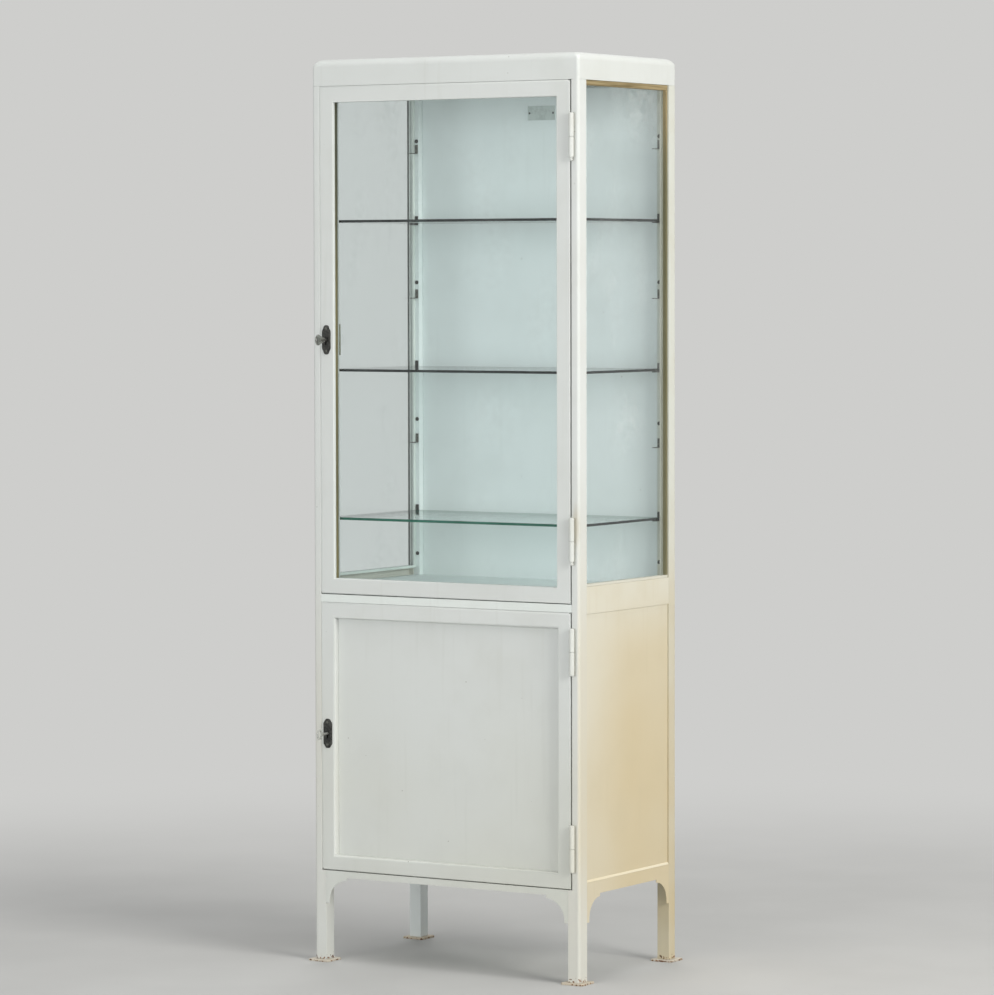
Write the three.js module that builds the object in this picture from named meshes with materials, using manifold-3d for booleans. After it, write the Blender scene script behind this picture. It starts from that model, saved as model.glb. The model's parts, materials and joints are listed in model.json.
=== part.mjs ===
// A free-standing steel instrument cabinet: a glazed upper case with glass shelves over a closed
// lower cupboard, on four square legs. Millimetres, +Z up, the front faces -Y.
import * as THREE from 'three';
import { mergeVertices } from 'three/addons/utils/BufferGeometryUtils.js';
import Module from 'manifold-3d';

const wasm = await Module();
wasm.setup();

// Overall body, without the foot plates, keys and hinge barrels that stand proud of it
const WIDTH = 600;
const DEPTH = 366;
const HEIGHT = 1750;

// Sheet steel and the clearances between pieces
const SHEET = 1.5;
const SEAM = 0.2;
const SEAT = 0.3;

// Corner posts: square tubes whose front pair is rebated for the doors
const POST_WIDTH = 25.5;
const STOP = 9;
const STOP_DEPTH = 6.5;
const FOOT_SIZE = 48;
const FOOT_THICK = 4;

// Heights of the carcass
const COVER_BAND = 51;
const COVER_ROUND = 15;
const ROUND_STEPS = 6;
const FRONT_RAIL_TOP = 717;
const FRONT_RAIL_FACE = 15;
const UPPER_FLOOR_STEP = 9;
const SIDE_RAIL_LIP = 14;
const SIDE_RAIL_HEIGHT = 51;
const APRON_BOTTOM = 166;
const FRONT_APRON_HEIGHT = 12.5;
const SIDE_APRON_HEIGHT = 24.5;
const RIM = 12;
const PANEL_RECESS = 3;
const BACK_SET = 13.5;

// Curved corner brackets under the aprons
const BRACKET_STEP = 6;
const BRACKET_LEDGE = 8;
const BRACKET_NICK = 5;
const BRACKET_RADIUS = 40;
const ARC_STEPS = 10;

// Doors
const DOOR_THICK = 20;
const DOOR_GAP = 1.5;
const HINGE_GAP = 3;
const STOP_GAP = 1;
const DOOR_BAR = 30;
const PANE_LAP = 6;
const GLASS_THICK = 4;
const BEAD_THICK = 3.4;

// Lift-off hinges
const BARREL_RADIUS = 5.5;
const PIN_RADIUS = 3;
const KNUCKLE = 45;
const LEAF_GAP = 0.5;
const LEAF_REACH = 18;
const AXIS_FROM_REBATE = 3.5;
const ROUND_SIDES = 24;
const HINGE_BELOW_TOP = { upper: 105.5, lower: 72.5 };
const HINGE_ABOVE_BOTTOM = { upper: 117.5, lower: 77 };

// Locks and keys
const LOCK_ABOVE_MIDDLE = { upper: 2, lower: 5.75 };
const KEY_IN_CASE = 4.4;
const LOCK_WALL = 1.2;
const LOCK_HEIGHT = 60;
const LOCK_PANE_GAP = 0.5;
const LOCK_SWING_GAP = 1.6;
const BOLT_THICK = 3.5;
const BOLT_HEIGHT = 14;
const BOLT_END_GAP = 0.5;
const BOLT_CLEAR = 0.3;
const PLATE_WIDTH = 20;
const PLATE_HEIGHT = 57;
const PLATE_THICK = 2;
const PLATE_CORNER = 7;
const KEY_RADIUS = 2.2;
const KEY_REACH = 38;
const BOW_HEIGHT = 21;
const BOW_LENGTH = 18;
const BOW_RIM = 3.4;
const BOW_THICK = 2.6;
const BIT_THICK = 2;
const BIT_DROP = 7.5;
const BIT_LENGTH = 6;
const KEY_TIP_GAP = 2.3;

// Side windows
const GLAZING_SET = 3;
const GLAZING_DEPTH = 14;
const GLAZING_SIGHT = 10;
const GLAZING_BITE = 6;
const GLASS_SET = 9.8;

// Shelves and their clips
const SHELF_BELOW_COVER = 263;
const SHELF_ABOVE_FLOOR = 125;
const SHELF_THICK = 5;
const SHELF_SIDE_GAP = 1;
const CLIP_WIDTH = 6;
const CLIP_THICK = 2;
const CLIP_RISE = 16;
const CLIP_REACH = 22;
const CLIP_EDGE = 0.5;

// Blank plate on the back panel
const BLANK_WIDTH = 62;
const BLANK_HEIGHT = 28;
const BLANK_THICK = 1;
const BLANK_X = 5;
const BLANK_DROP = 47;

// Planes that several pieces share
const LEFT = -WIDTH / 2;
const RIGHT = WIDTH / 2;
const FRONT = -DEPTH / 2;
const COVER_BOTTOM = HEIGHT - COVER_BAND;
const POST_TOP = COVER_BOTTOM - SEAM;
const REBATE = DOOR_THICK + STOP_GAP;
const POST_FACE = POST_WIDTH - STOP;
const POST_DEPTH = REBATE + STOP_DEPTH;
const BETWEEN_POSTS = WIDTH / 2 - POST_WIDTH - SEAM;
const BETWEEN_FACES = WIDTH / 2 - POST_FACE - SEAM;
const FRONT_RAIL_BOTTOM = FRONT_RAIL_TOP - FRONT_RAIL_FACE;
const UPPER_FLOOR_TOP = FRONT_RAIL_TOP + STOP + UPPER_FLOOR_STEP;
const SIDE_RAIL_TOP = UPPER_FLOOR_TOP + SIDE_RAIL_LIP;
const SIDE_RAIL_BOTTOM = SIDE_RAIL_TOP - SIDE_RAIL_HEIGHT;
const SILL_TOP = APRON_BOTTOM + FRONT_APRON_HEIGHT;
const SIDE_APRON_TOP = APRON_BOTTOM + SIDE_APRON_HEIGHT;
const LOWER_FLOOR_TOP = SILL_TOP + STOP;
const DOOR_LEFT = LEFT + POST_FACE + DOOR_GAP;
const DOOR_RIGHT = RIGHT - POST_FACE - HINGE_GAP;
const HINGE_X = RIGHT - POST_FACE + AXIS_FROM_REBATE;
const HINGE_Y = FRONT - BARREL_RADIUS - SEAT;
const DOOR_WIDTH = [DOOR_LEFT, DOOR_RIGHT];
const UPPER_DOOR = [FRONT_RAIL_TOP + DOOR_GAP, COVER_BOTTOM - DOOR_GAP];
const LOWER_DOOR = [SILL_TOP + DOOR_GAP, FRONT_RAIL_BOTTOM - DOOR_GAP];
const REVEAL = DOOR_THICK - GLASS_THICK - BEAD_THICK - 2 * SEAT;
const CASE_LEFT = LEFT + POST_WIDTH + LOCK_SWING_GAP;
const CASE_RIGHT = DOOR_LEFT + DOOR_BAR - PANE_LAP - LOCK_PANE_GAP;
const KEY_X = CASE_LEFT + KEY_IN_CASE;
const BOLT_LENGTH = CASE_RIGHT - CASE_LEFT - SEAM - LOCK_WALL - BOLT_END_GAP;
const SHELF_INSET = GLAZING_SET + GLAZING_DEPTH + SHELF_SIDE_GAP;
const CLIP_INSET = SHELF_INSET + CLIP_EDGE;
const OVER = 1;

const PAINT = { color: 0xd6d6ce, roughness: 0.42, metalness: 0 };
const CREAM = { color: 0xded0b0, roughness: 0.48, metalness: 0 };
const GLASS = { color: 0xcfe6de, roughness: 0.05, metalness: 0, transparent: true, opacity: 0.3 };
const PUTTY = { color: 0xa58c5f, roughness: 0.85, metalness: 0 };
const IRON = { color: 0x2a2b28, roughness: 0.55, metalness: 0.6 };
const STEEL = { color: 0x9a9a94, roughness: 0.38, metalness: 0.9 };

// Closed three.js geometry to a solid that can be joined and cut
function toSolid(geometry) {
  const bare = geometry.index ? geometry.toNonIndexed() : geometry.clone();
  bare.deleteAttribute('normal');
  bare.deleteAttribute('uv');
  const merged = mergeVertices(bare, 1e-4);
  const mesh = new wasm.Mesh({
    numProp: 3,
    vertProperties: new Float32Array(merged.attributes.position.array),
    triVerts: new Uint32Array(merged.index.array),
  });
  mesh.merge();
  return new wasm.Manifold(mesh);
}

function toGeometry(solid) {
  const mesh = solid.getMesh();
  const geometry = new THREE.BufferGeometry();
  geometry.setAttribute('position', new THREE.BufferAttribute(new Float32Array(mesh.vertProperties), 3));
  geometry.setIndex(new THREE.BufferAttribute(new Uint32Array(mesh.triVerts), 1));
  geometry.computeVertexNormals();
  return geometry;
}

function join(...solids) {
  return solids.reduce((whole, solid) => whole.add(solid));
}

function cut(solid, ...tools) {
  return tools.reduce((rest, tool) => rest.subtract(tool), solid);
}

// A box between two limits along each axis
function block([x0, x1], [y0, y1], [z0, z1]) {
  const geometry = new THREE.BoxGeometry(x1 - x0, y1 - y0, z1 - z0);
  geometry.translate((x0 + x1) / 2, (y0 + y1) / 2, (z0 + z1) / 2);
  return toSolid(geometry);
}

// Limits along X, measured inward from the left (-1) or right (1) side
function inward(side, near, far) {
  const ends = [side * (WIDTH / 2 - near), side * (WIDTH / 2 - far)];
  return ends.sort((a, b) => a - b);
}

// Limits along Y, measured back from the front, or forward from the rear
function behind(near, far) {
  return [FRONT + near, FRONT + far];
}

function fromEnd(end, near, far) {
  return end === 'front' ? behind(near, far) : behind(DEPTH - far, DEPTH - near);
}

function across(half) {
  return [-half, half];
}

function grow([low, high], amount) {
  return [low - amount, high + amount];
}

// A straight-sided outline moved in by a wall thickness; its points run anticlockwise
function insetOutline(points, wall) {
  return points.map((point, i) => {
    const before = points[(i + points.length - 1) % points.length];
    const after = points[(i + 1) % points.length];
    const inDir = [point[0] - before[0], point[1] - before[1]];
    const outDir = [after[0] - point[0], after[1] - point[1]];
    const inLength = Math.hypot(...inDir);
    const outLength = Math.hypot(...outDir);
    const shiftX = -inDir[1] / inLength - outDir[1] / outLength;
    const shiftY = inDir[0] / inLength + outDir[0] / outLength;
    return [point[0] + shiftX * wall, point[1] + shiftY * wall];
  });
}

function outlineShape(points) {
  return new THREE.Shape(points.map(([x, y]) => new THREE.Vector2(x, y)));
}

// An outline in plan, extruded upward
function upright(points, [z0, z1]) {
  const geometry = new THREE.ExtrudeGeometry(outlineShape(points), { depth: z1 - z0, bevelEnabled: false });
  geometry.translate(0, 0, z0);
  return toSolid(geometry);
}

// A shape drawn in X and Z, extruded back along Y
function frontPlate(shape, [y0, y1]) {
  const settings = { depth: y1 - y0, bevelEnabled: false, curveSegments: ARC_STEPS };
  const geometry = new THREE.ExtrudeGeometry(shape, settings);
  geometry.rotateX(Math.PI / 2);
  geometry.translate(0, y1, 0);
  return toSolid(geometry);
}

// A shape drawn in Y and Z, extruded along X
function sidePlate(shape, [x0, x1]) {
  const settings = { depth: x1 - x0, bevelEnabled: false, curveSegments: ARC_STEPS };
  const geometry = new THREE.ExtrudeGeometry(shape, settings);
  geometry.rotateX(Math.PI / 2);
  geometry.rotateZ(Math.PI / 2);
  geometry.translate(x0, 0, 0);
  return toSolid(geometry);
}

// A turned piece about a vertical axis; the profile holds radius and height
function turned(profile, [x, y]) {
  const points = profile.map(([radius, z]) => new THREE.Vector2(radius, z));
  const geometry = new THREE.LatheGeometry(points, ROUND_SIDES);
  geometry.rotateX(Math.PI / 2);
  geometry.translate(x, y, 0);
  return toSolid(geometry);
}

// A round rod along Y
function rod(radius, [y0, y1], x, z) {
  const geometry = new THREE.CylinderGeometry(radius, radius, y1 - y0, ROUND_SIDES);
  geometry.translate(x, (y0 + y1) / 2, z);
  return toSolid(geometry);
}

const cabinet = new THREE.Group();
cabinet.position.y = (KEY_REACH - (FOOT_SIZE - POST_DEPTH) / 2) / 2;

function addPiece(name, solid, finish) {
  const mesh = new THREE.Mesh(toGeometry(solid), new THREE.MeshStandardMaterial(finish));
  mesh.name = name;
  cabinet.add(mesh);
}

const SIDES = { left: -1, right: 1 };

// Corner posts and foot plates
function postTube(side, end, outline, heights) {
  const place = ([u, v]) => [side * (WIDTH / 2 - u), end === 'front' ? FRONT + v : FRONT + DEPTH - v];
  const outer = upright(outline.map(place), heights);
  const bore = upright(insetOutline(outline, SHEET).map(place), grow(heights, OVER));
  return cut(outer, bore);
}

function makePost(side, end) {
  const square = [[0, 0], [POST_WIDTH, 0], [POST_WIDTH, POST_DEPTH], [0, POST_DEPTH]];
  const footTop = FOOT_THICK + SEAM;
  if (end === 'rear') {
    return postTube(side, end, square, [footTop, POST_TOP]);
  }
  const rebated = [
    [0, 0], [POST_FACE, 0], [POST_FACE, REBATE], [POST_WIDTH, REBATE],
    [POST_WIDTH, POST_DEPTH], [0, POST_DEPTH],
  ];
  const ledge = [SILL_TOP - SHEET, SILL_TOP];
  return join(
    postTube(side, end, square, [footTop, SILL_TOP]),
    postTube(side, end, rebated, [ledge[0], POST_TOP]),
    block(inward(side, POST_FACE - SHEET, POST_WIDTH), behind(0, REBATE + SHEET), ledge),
  );
}

function makeFoot(side, end) {
  const acrossWidth = inward(side, (POST_WIDTH - FOOT_SIZE) / 2, (POST_WIDTH + FOOT_SIZE) / 2);
  const alongDepth = fromEnd(end, (POST_DEPTH - FOOT_SIZE) / 2, (POST_DEPTH + FOOT_SIZE) / 2);
  return block(acrossWidth, alongDepth, [0, FOOT_THICK]);
}

// Top cover: a pressed lid with rounded top edges and a stop behind the upper door
function roundedLid(width, depth, top, radius) {
  const flat = new THREE.Shape();
  flat.moveTo(radius - width / 2, radius - depth / 2);
  flat.lineTo(width / 2 - radius, radius - depth / 2);
  flat.lineTo(width / 2 - radius, depth / 2 - radius);
  flat.lineTo(radius - width / 2, depth / 2 - radius);
  flat.closePath();
  const height = top - COVER_BOTTOM;
  const geometry = new THREE.ExtrudeGeometry(flat, {
    depth: height,
    bevelThickness: radius,
    bevelSize: radius,
    bevelSegments: ROUND_STEPS,
  });
  geometry.translate(0, 0, top - height - radius);
  return toSolid(geometry);
}

function makeTopCover() {
  const below = block(grow([LEFT, RIGHT], OVER), grow(behind(0, DEPTH), OVER), [0, COVER_BOTTOM]);
  const outer = cut(roundedLid(WIDTH, DEPTH, HEIGHT, COVER_ROUND), below);
  const inner = roundedLid(WIDTH - 2 * SHEET, DEPTH - 2 * SHEET, HEIGHT - SHEET, COVER_ROUND - SHEET);
  const lip = block(across(BETWEEN_POSTS), behind(0, REBATE + SHEET), [COVER_BOTTOM, COVER_BOTTOM + SHEET]);
  const stop = block(
    across(BETWEEN_POSTS),
    behind(REBATE, REBATE + SHEET),
    [COVER_BOTTOM - STOP, COVER_BOTTOM + SHEET],
  );
  return join(cut(outer, inner), lip, stop);
}

// Folded rail between the doors, with a stop for each of them
function makeFrontRail() {
  const heights = [FRONT_RAIL_BOTTOM, FRONT_RAIL_TOP];
  const face = block(across(BETWEEN_FACES), behind(0, REBATE - SEAM), heights);
  const middle = block(across(BETWEEN_POSTS), behind(0, REBATE + SHEET), heights);
  const stops = block(across(BETWEEN_POSTS), behind(REBATE, REBATE + SHEET), grow(heights, STOP));
  const hollow = block(across(WIDTH), behind(SHEET, DEPTH), grow(heights, -SHEET));
  return cut(join(face, middle, stops), hollow);
}

// Apron outline: a straight band with a curved bracket at each end
function apronShape(half, top) {
  const arcTop = APRON_BOTTOM - BRACKET_STEP;
  const arcFoot = arcTop - BRACKET_RADIUS;
  const low = arcFoot - BRACKET_NICK;
  const arcStart = half - BRACKET_LEDGE;
  const arcEnd = arcStart - BRACKET_RADIUS;
  const shape = new THREE.Shape();
  shape.moveTo(-half, top);
  shape.lineTo(-half, low);
  shape.lineTo(-arcStart, low);
  shape.lineTo(-arcStart, arcFoot);
  shape.absarc(-arcEnd, arcFoot, BRACKET_RADIUS, Math.PI, Math.PI / 2, true);
  shape.lineTo(-arcEnd, APRON_BOTTOM);
  shape.lineTo(arcEnd, APRON_BOTTOM);
  shape.lineTo(arcEnd, arcTop);
  shape.absarc(arcEnd, arcFoot, BRACKET_RADIUS, Math.PI / 2, 0, true);
  shape.lineTo(arcStart, low);
  shape.lineTo(half, low);
  shape.lineTo(half, top);
  shape.closePath();
  return shape;
}

function makeFrontApron() {
  const plate = frontPlate(apronShape(BETWEEN_POSTS, SILL_TOP), behind(0, SHEET));
  const sill = block(across(BETWEEN_POSTS), behind(0, REBATE + SHEET), [SILL_TOP - SHEET, SILL_TOP]);
  const stop = block(
    across(BETWEEN_POSTS),
    behind(REBATE, REBATE + SHEET),
    [SILL_TOP - SHEET, LOWER_FLOOR_TOP],
  );
  return join(plate, sill, stop);
}

const SIDE_BAY = behind(POST_DEPTH + SEAM, DEPTH - POST_DEPTH - SEAM);

function makeSideApron(side) {
  const plate = sidePlate(apronShape(SIDE_BAY[1], SIDE_APRON_TOP), inward(side, 0, SHEET));
  const flange = block(inward(side, 0, RIM), SIDE_BAY, [SIDE_APRON_TOP - SHEET, SIDE_APRON_TOP]);
  return join(plate, flange);
}

// Pressed side panel: a flush rail above a slightly sunk field, rimmed on the inside
function makeSidePanel(side) {
  const bottom = SIDE_APRON_TOP + SEAM;
  const inside = grow(SIDE_BAY, -SHEET);
  const body = block(inward(side, 0, RIM), SIDE_BAY, [bottom, SIDE_RAIL_TOP]);
  const sunk = block(
    inward(side, -OVER, PANEL_RECESS),
    grow(SIDE_BAY, OVER),
    [bottom - OVER, SIDE_RAIL_BOTTOM],
  );
  const railHollow = block(
    inward(side, SHEET, RIM + OVER),
    inside,
    [SIDE_RAIL_BOTTOM + SHEET, SIDE_RAIL_TOP - SHEET],
  );
  const fieldHollow = block(
    inward(side, PANEL_RECESS + SHEET, RIM + OVER),
    inside,
    [bottom + SHEET, SIDE_RAIL_BOTTOM - SHEET],
  );
  return cut(body, sunk, railHollow, fieldHollow);
}

// Back panel: a tray whose smooth face is inside
function makeBackPanel() {
  const heights = [APRON_BOTTOM, POST_TOP];
  const tray = block(across(BETWEEN_POSTS), behind(DEPTH - BACK_SET, DEPTH - SHEET), heights);
  const hollow = block(
    grow(across(BETWEEN_POSTS), -SHEET),
    behind(DEPTH - BACK_SET + SHEET, DEPTH),
    grow(heights, -SHEET),
  );
  return cut(tray, hollow);
}

// Floors: sheets that pass between the posts to the front, the back and both sides
function floorSheet(top, frontEdge) {
  const backEdge = DEPTH - BACK_SET - SEAM;
  const thick = [top - SHEET, top];
  return join(
    block(across(WIDTH / 2 - RIM - SEAM), SIDE_BAY, thick),
    block(across(BETWEEN_POSTS), behind(frontEdge, backEdge), thick),
  );
}

function makeUpperFloor() {
  const lip = block(
    across(BETWEEN_POSTS),
    behind(REBATE, REBATE + SHEET),
    [FRONT_RAIL_TOP + STOP + SEAM, UPPER_FLOOR_TOP],
  );
  return join(floorSheet(UPPER_FLOOR_TOP, REBATE), lip);
}

function makeLowerFloor() {
  return floorSheet(LOWER_FLOOR_TOP, REBATE + SHEET + SEAM);
}

// Side windows: a pane bedded in a grooved surround
const WINDOW_HEIGHTS = [SIDE_RAIL_TOP + SEAM, POST_TOP];

function makeGlazing(side) {
  const groove = inward(side, GLASS_SET - SEAT, GLASS_SET + GLASS_THICK + SEAT);
  const grooveFloor = GLAZING_SIGHT - GLAZING_BITE;
  const surround = block(inward(side, GLAZING_SET, GLAZING_SET + GLAZING_DEPTH), SIDE_BAY, WINDOW_HEIGHTS);
  const sight = block(
    inward(side, 0, GLAZING_SET + GLAZING_DEPTH + OVER),
    grow(SIDE_BAY, -GLAZING_SIGHT),
    grow(WINDOW_HEIGHTS, -GLAZING_SIGHT),
  );
  const slot = block(groove, grow(SIDE_BAY, -grooveFloor), grow(WINDOW_HEIGHTS, -grooveFloor));
  return cut(surround, sight, slot);
}

function makeSideGlass(side) {
  const edge = GLAZING_SIGHT - GLAZING_BITE + SEAT;
  return block(
    inward(side, GLASS_SET, GLASS_SET + GLASS_THICK),
    grow(SIDE_BAY, -edge),
    grow(WINDOW_HEIGHTS, -edge),
  );
}

// Shelves lie on clips that hang on the posts; the middle one is halfway between the other two
const TOP_SEAT = COVER_BOTTOM - SHELF_BELOW_COVER;
const BOTTOM_SEAT = UPPER_FLOOR_TOP + SHELF_ABOVE_FLOOR;
const SHELF_SEATS = { top: TOP_SEAT, middle: (TOP_SEAT + BOTTOM_SEAT) / 2, bottom: BOTTOM_SEAT };

function makeClip(side, end, seat) {
  const foot = POST_DEPTH + SEAM;
  const width = inward(side, CLIP_INSET, CLIP_INSET + CLIP_WIDTH);
  return join(
    block(width, fromEnd(end, foot, foot + CLIP_THICK), [seat - CLIP_THICK, seat + CLIP_RISE]),
    block(width, fromEnd(end, foot, foot + CLIP_REACH), [seat - CLIP_THICK, seat]),
  );
}

function makeShelf(seat) {
  const edge = POST_DEPTH + SEAM + CLIP_THICK + SEAT;
  return block(
    across(WIDTH / 2 - SHELF_INSET),
    behind(edge, DEPTH - edge),
    [seat + SEAT, seat + SEAT + SHELF_THICK],
  );
}

function makeBlankPlate() {
  const face = DEPTH - BACK_SET - SEAM;
  const middle = COVER_BOTTOM - BLANK_DROP;
  return block(
    [BLANK_X - BLANK_WIDTH / 2, BLANK_X + BLANK_WIDTH / 2],
    behind(face - BLANK_THICK, face),
    [middle - BLANK_HEIGHT / 2, middle + BLANK_HEIGHT / 2],
  );
}

// Doors: folded frames that hold a pane behind a deep reveal
const SIGHT_WIDTH = grow(DOOR_WIDTH, -DOOR_BAR);

function makeDoorFrame(heights, keyHeight) {
  const sightHeights = grow(heights, -DOOR_BAR);
  const tray = cut(
    block(DOOR_WIDTH, behind(0, DOOR_THICK), heights),
    block(grow(DOOR_WIDTH, -SHEET), behind(SHEET, DOOR_THICK + OVER), grow(heights, -SHEET)),
  );
  const revealRim = block(grow(SIGHT_WIDTH, SHEET), behind(0, REVEAL), grow(sightHeights, SHEET));
  const opening = block(SIGHT_WIDTH, behind(-OVER, DOOR_THICK), sightHeights);
  const keyHole = rod(2 * KEY_RADIUS, behind(-OVER, SHEET + OVER), KEY_X, keyHeight);
  return cut(join(tray, revealRim), opening, keyHole);
}

function makePane(heights, thick) {
  const outline = grow(grow(heights, -DOOR_BAR), PANE_LAP);
  return block(grow(SIGHT_WIDTH, PANE_LAP), behind(REVEAL + SEAT, REVEAL + SEAT + thick), outline);
}

function makeDoorBead(heights) {
  const sightHeights = grow(heights, -DOOR_BAR);
  const near = REVEAL + GLASS_THICK + 2 * SEAT;
  const depths = behind(near, near + BEAD_THICK);
  const ring = block(grow(SIGHT_WIDTH, PANE_LAP), depths, grow(sightHeights, PANE_LAP));
  return cut(ring, block(SIGHT_WIDTH, grow(depths, OVER), sightHeights));
}

const DOORS = { upper: UPPER_DOOR, lower: LOWER_DOOR };

function lockHeight(door) {
  const [bottom, top] = DOORS[door];
  return (bottom + top) / 2 + LOCK_ABOVE_MIDDLE[door];
}

// Hinges: the lower knuckle carries the pin and stays on the post, the upper one lifts off with the door
function hingeLeaf(heights) {
  const between = grow([DOOR_RIGHT, DOOR_RIGHT + HINGE_GAP], -LEAF_GAP);
  return block(between, [HINGE_Y, FRONT + LEAF_REACH], heights);
}

function makePostKnuckle(middle) {
  const low = middle - KNUCKLE;
  const neck = 0.6 * BARREL_RADIUS;
  const ball = 0.75 * BARREL_RADIUS;
  const pinTop = middle + KNUCKLE - 2 * PIN_RADIUS;
  const profile = [
    [0, low],
    [0.7 * ball, low + 0.3 * ball],
    [ball, low + ball],
    [neck, low + 1.8 * ball],
    [BARREL_RADIUS, low + 1.8 * ball],
    [BARREL_RADIUS, middle - SEAM],
    [PIN_RADIUS, middle - SEAM],
    [PIN_RADIUS, pinTop],
    [0, pinTop],
  ];
  const leaf = hingeLeaf([low + 2 * BARREL_RADIUS, middle - BARREL_RADIUS]);
  return join(turned(profile, [HINGE_X, HINGE_Y]), leaf);
}

function makeDoorKnuckle(middle) {
  const high = middle + KNUCKLE;
  const bore = PIN_RADIUS + SEAT;
  const boreTop = high - PIN_RADIUS;
  const profile = [
    [0, boreTop],
    [bore, boreTop],
    [bore, middle + SEAM],
    [BARREL_RADIUS, middle + SEAM],
    [BARREL_RADIUS, high - 0.3 * BARREL_RADIUS],
    [0.7 * BARREL_RADIUS, high],
    [0, high],
  ];
  const leaf = hingeLeaf([middle + BARREL_RADIUS, high - 2 * BARREL_RADIUS]);
  return join(turned(profile, [HINGE_X, HINGE_Y]), leaf);
}

// Locks: a case behind the door's stile, a bolt that shoots behind the post, a plate and a key
const CASE_WIDTH = [CASE_LEFT, CASE_RIGHT];
const BOLT_NEAR = POST_DEPTH + BOLT_CLEAR;
const BOLT_DEPTHS = behind(BOLT_NEAR, BOLT_NEAR + BOLT_THICK);
const CASE_BACK = BOLT_NEAR + BOLT_THICK + BOLT_CLEAR + 2 * LOCK_WALL;

function makeLockCase(height) {
  const heights = [height - LOCK_HEIGHT / 2, height + LOCK_HEIGHT / 2];
  const boltHeights = [height - BOLT_HEIGHT / 2, height + BOLT_HEIGHT / 2];
  const near = SHEET + SEAT;
  const shell = block(CASE_WIDTH, behind(near, CASE_BACK), heights);
  const room = block(
    grow(CASE_WIDTH, -LOCK_WALL),
    behind(near - OVER, CASE_BACK - LOCK_WALL),
    grow(heights, -LOCK_WALL),
  );
  const slot = block(
    [CASE_LEFT - OVER, CASE_LEFT + LOCK_WALL + OVER],
    grow(BOLT_DEPTHS, BOLT_CLEAR),
    grow(boltHeights, BOLT_CLEAR),
  );
  return cut(shell, room, slot);
}

function makeBolt(height) {
  return block(
    [CASE_LEFT + SEAM, CASE_LEFT + SEAM + BOLT_LENGTH],
    BOLT_DEPTHS,
    [height - BOLT_HEIGHT / 2, height + BOLT_HEIGHT / 2],
  );
}

// Plate outline with its four corners rounded or cut off, drawn anticlockwise from the lower left
function lockPlateShape(height, rounded) {
  const shape = new THREE.Shape();
  for (const [sideways, upward] of [[-1, -1], [1, -1], [1, 1], [-1, 1]]) {
    const edge = KEY_X + sideways * PLATE_WIDTH / 2;
    const end = height + upward * PLATE_HEIGHT / 2;
    const onSide = [edge, end - upward * PLATE_CORNER];
    const onEnd = [edge - sideways * PLATE_CORNER, end];
    const [start, finish] = sideways === upward ? [onSide, onEnd] : [onEnd, onSide];
    if (sideways < 0 && upward < 0) {
      shape.moveTo(...start);
    } else {
      shape.lineTo(...start);
    }
    if (rounded) {
      shape.quadraticCurveTo(edge, end, ...finish);
    } else {
      shape.lineTo(...finish);
    }
  }
  shape.closePath();
  return shape;
}

function makeLockPlate(height, rounded) {
  const depths = behind(-SEAT - PLATE_THICK, -SEAT);
  const plate = frontPlate(lockPlateShape(height, rounded), depths);
  const round = rod(KEY_RADIUS + 2 * SEAT, grow(depths, OVER), KEY_X, height);
  const bitWay = block(
    [KEY_X - BIT_THICK / 2 - SEAT, KEY_X + BIT_THICK / 2 + SEAT],
    grow(depths, OVER),
    [height - KEY_RADIUS - BIT_DROP, height],
  );
  return cut(plate, round, bitWay);
}

function makeKey(height) {
  const bowMiddle = FRONT - KEY_REACH + BOW_LENGTH / 2;
  const bow = new THREE.Shape();
  bow.absellipse(bowMiddle, height, BOW_LENGTH / 2, BOW_HEIGHT / 2, 0, 2 * Math.PI);
  const eye = new THREE.Path();
  eye.absellipse(bowMiddle, height, BOW_LENGTH / 2 - BOW_RIM, BOW_HEIGHT / 2 - BOW_RIM, 0, 2 * Math.PI);
  bow.holes.push(eye);
  const tip = FRONT + POST_DEPTH - KEY_TIP_GAP;
  const shaftStart = FRONT - KEY_REACH + BOW_LENGTH - BOW_RIM / 2;
  return join(
    sidePlate(bow, [KEY_X - BOW_THICK / 2, KEY_X + BOW_THICK / 2]),
    rod(KEY_RADIUS, [shaftStart, tip], KEY_X, height),
    block(
      [KEY_X - BIT_THICK / 2, KEY_X + BIT_THICK / 2],
      [tip - BIT_LENGTH, tip],
      [height - BIT_DROP, height],
    ),
  );
}

// Carcass
for (const [sideName, side] of Object.entries(SIDES)) {
  for (const end of ['front', 'rear']) {
    addPiece(`post_${end}_${sideName}`, makePost(side, end), PAINT);
    addPiece(`foot_plate_${end}_${sideName}`, makeFoot(side, end), PAINT);
    for (const [level, seat] of Object.entries(SHELF_SEATS)) {
      addPiece(`shelf_clip_${level}_${end}_${sideName}`, makeClip(side, end, seat), STEEL);
    }
  }
  addPiece(`side_apron_${sideName}`, makeSideApron(side), PAINT);
  addPiece(`side_panel_${sideName}`, makeSidePanel(side), CREAM);
  addPiece(`side_glazing_${sideName}`, makeGlazing(side), PUTTY);
  addPiece(`side_glass_${sideName}`, makeSideGlass(side), GLASS);
}
addPiece('top_cover', makeTopCover(), PAINT);
addPiece('front_mid_rail', makeFrontRail(), PAINT);
addPiece('front_apron', makeFrontApron(), PAINT);
addPiece('back_panel', makeBackPanel(), PAINT);
addPiece('upper_floor', makeUpperFloor(), PAINT);
addPiece('lower_floor', makeLowerFloor(), PAINT);
addPiece('blank_plate', makeBlankPlate(), STEEL);
for (const [level, seat] of Object.entries(SHELF_SEATS)) {
  addPiece(`shelf_${level}`, makeShelf(seat), GLASS);
}

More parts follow.
